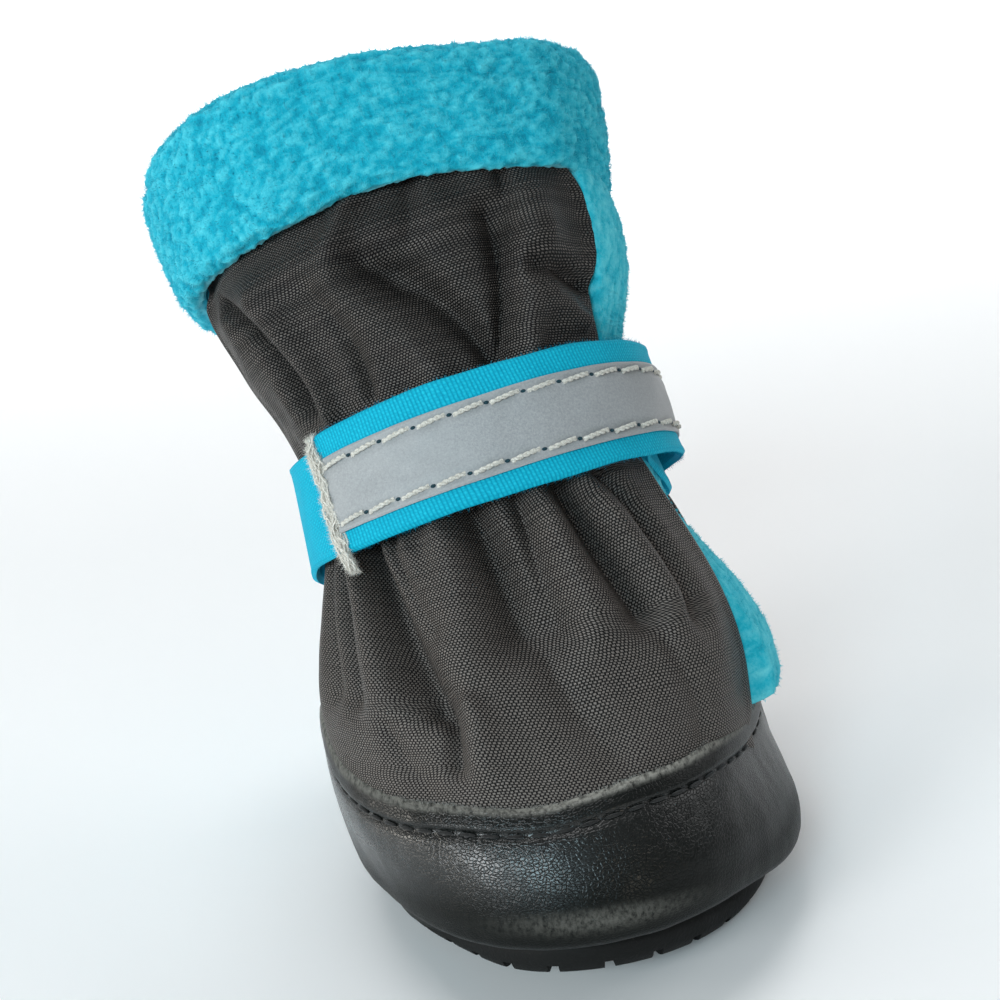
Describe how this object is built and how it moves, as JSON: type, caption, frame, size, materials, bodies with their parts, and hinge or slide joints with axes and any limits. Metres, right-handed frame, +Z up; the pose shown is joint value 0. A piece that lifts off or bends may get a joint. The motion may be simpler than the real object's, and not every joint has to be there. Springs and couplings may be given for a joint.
{
  "type": "dog shoe",
  "caption": "Soft winter shoe for a dog: fleece upper with woven panels, leather toe cap and counter, turned fleece cuff, reflective hook-and-loop strap and a moulded rubber sole.",
  "frame": {"origin": "on the floor, under the middle of the sole", "axes": "+Z up, toe towards -Y, +X to the right when the toe faces the viewer"},
  "size_m": [0.0761, 0.083, 0.1041],
  "materials": {
    "rubber": "matte moulded black rubber with fine tread",
    "fleece": "turquoise polar fleece with a nubbly pile",
    "woven_cloth": "black coated woven cloth with a visible basket weave",
    "leather": "glossy black pebbled leather with a folded top edge",
    "webbing": "turquoise ribbed webbing",
    "reflective": "silver grey reflective tape"
  },
  "bodies": {
    "root": {"outsole": "rubber", "insole": "fleece", "upper": "fleece", "front_panel": "woven_cloth", "back_panel": "woven_cloth", "toe_cap": "leather", "heel_counter": "leather", "cuff": "fleece", "strap": "webbing", "reflective_tape": "reflective"}
  },
  "joints": []
}
